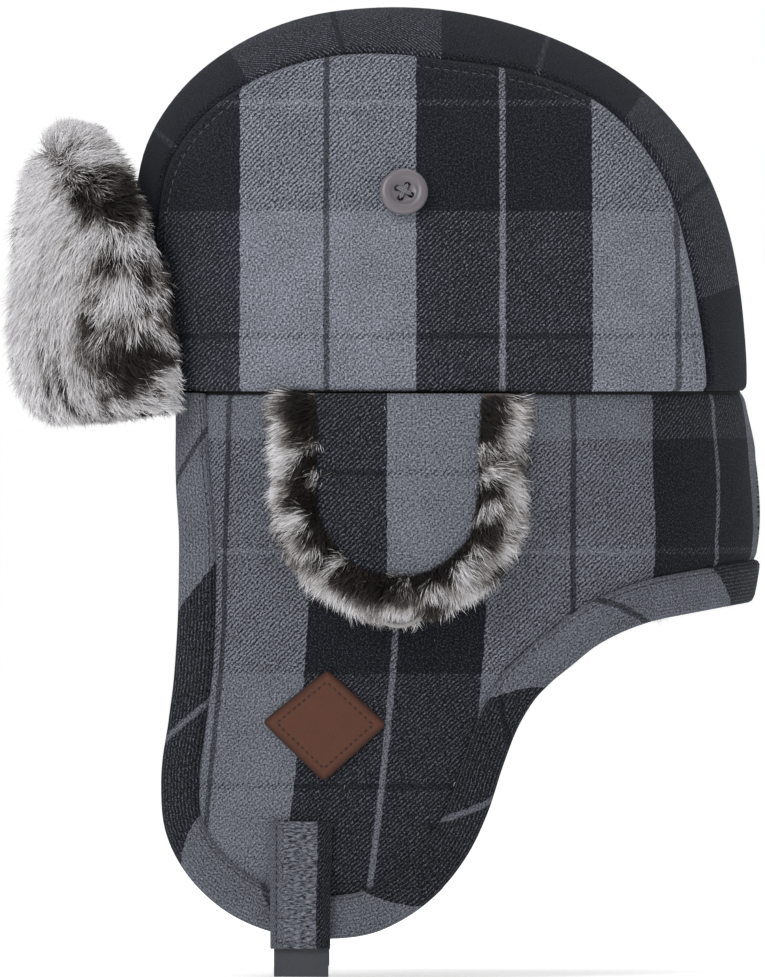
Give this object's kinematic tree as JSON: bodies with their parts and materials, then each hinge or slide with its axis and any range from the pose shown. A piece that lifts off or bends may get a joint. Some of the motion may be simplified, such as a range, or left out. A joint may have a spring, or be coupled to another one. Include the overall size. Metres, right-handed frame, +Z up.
{
  "type": "trapper hat",
  "caption": "Winter hat with a check wool crown, a turned-up fur visor, fur-lined ear flaps with small flaps over the ear holes, a neck curtain and short chin straps",
  "frame": {"origin": "Centre of the head opening, at the height of the seam between crown and skirt", "axes": "+Z up, the hat faces -Y, the wearer's left is +X"},
  "size_m": [0.2103, 0.2674, 0.3498],
  "materials": {
    "wool": "brushed twill wool check in greys and near black",
    "wool_binding": "the same wool, folded over the edge and stitched",
    "wool_strap": "the same wool, doubled and stitched",
    "fur": "long-pile faux fur, dark roots with silver tips",
    "padding": "wadding and interlining",
    "lining": "smooth woven lining",
    "button_plastic": "satin grey",
    "thread": "twisted sewing thread",
    "leather": "plain brown, stitched round",
    "tape": "hook-and-loop tape",
    "cord": "elastic cord"
  },
  "bodies": {
    "crown": {"centre_panel": "wool", "left_side_panel": "wool", "right_side_panel": "wool", "crown_padding": "padding", "crown_lining": "lining", "sweatband": "lining", "left_button": "button_plastic", "left_button_thread": "thread", "right_button": "button_plastic", "right_button_thread": "thread", "left_curtain_shell": "wool", "right_curtain_shell": "wool", "curtain_interlining": "padding", "curtain_fur": "fur", "left_curtain_binding": "wool_binding", "right_curtain_binding": "wool_binding"},
    "visor": {"visor_shell": "wool", "visor_stiffener": "padding", "visor_fur": "fur"},
    "left_ear_flap": {"left_ear_flap_shell": "wool", "left_ear_flap_interlining": "padding", "left_ear_flap_fur": "fur", "left_ear_flap_binding": "wool_binding", "left_strap_base": "wool_strap", "leather_patch": "leather"},
    "left_port_flap": {"left_port_flap_shell": "wool", "left_port_flap_fur": "fur", "left_port_flap_loop": "cord"},
    "left_strap": {"left_chin_strap": "wool_strap", "left_strap_hook_tape": "tape"},
    "right_ear_flap": {"right_ear_flap_shell": "wool", "right_ear_flap_interlining": "padding", "right_ear_flap_fur": "fur", "right_ear_flap_binding": "wool_binding", "right_strap_base": "wool_strap"},
    "right_port_flap": {"right_port_flap_shell": "wool", "right_port_flap_fur": "fur", "right_port_flap_loop": "cord"},
    "right_strap": {"right_chin_strap": "wool_strap", "right_strap_loop_tape": "tape"}
  },
  "joints": [
    {"name": "visor_fold", "type": "hinge", "parent": "crown", "child": "visor", "pos_m": [0, -0.119, 0.003], "axis": [1, 0, 0], "range_deg": [0, 105]},
    {"name": "left_ear_flap_fold", "type": "hinge", "parent": "crown", "child": "left_ear_flap", "pos_m": [0.1, 0, 0], "axis": [0, 1, 0], "range_deg": [-155, 0]},
    {"name": "left_port_flap_fold", "type": "hinge", "parent": "left_ear_flap", "child": "left_port_flap", "pos_m": [0.0988, 0, -0.001], "axis": [0, -1, 0], "range_deg": [0, 174]},
    {"name": "left_strap_swing", "type": "hinge", "parent": "left_ear_flap", "child": "left_strap", "pos_m": [0.0842, -0.05093, -0.173], "axis": [-0.1867, -0.9824, 0], "range_deg": [0, 90]},
    {"name": "right_ear_flap_fold", "type": "hinge", "parent": "crown", "child": "right_ear_flap", "pos_m": [-0.1, 0, 0], "axis": [0, -1, 0], "range_deg": [-155, 0]},
    {"name": "right_port_flap_fold", "type": "hinge", "parent": "right_ear_flap", "child": "right_port_flap", "pos_m": [-0.0988, 0, -0.001], "axis": [0, 1, 0], "range_deg": [0, 174]},
    {"name": "right_strap_swing", "type": "hinge", "parent": "right_ear_flap", "child": "right_strap", "pos_m": [-0.0842, -0.05093, -0.173], "axis": [-0.1867, 0.9824, 0], "range_deg": [0, 90]}
  ]
}
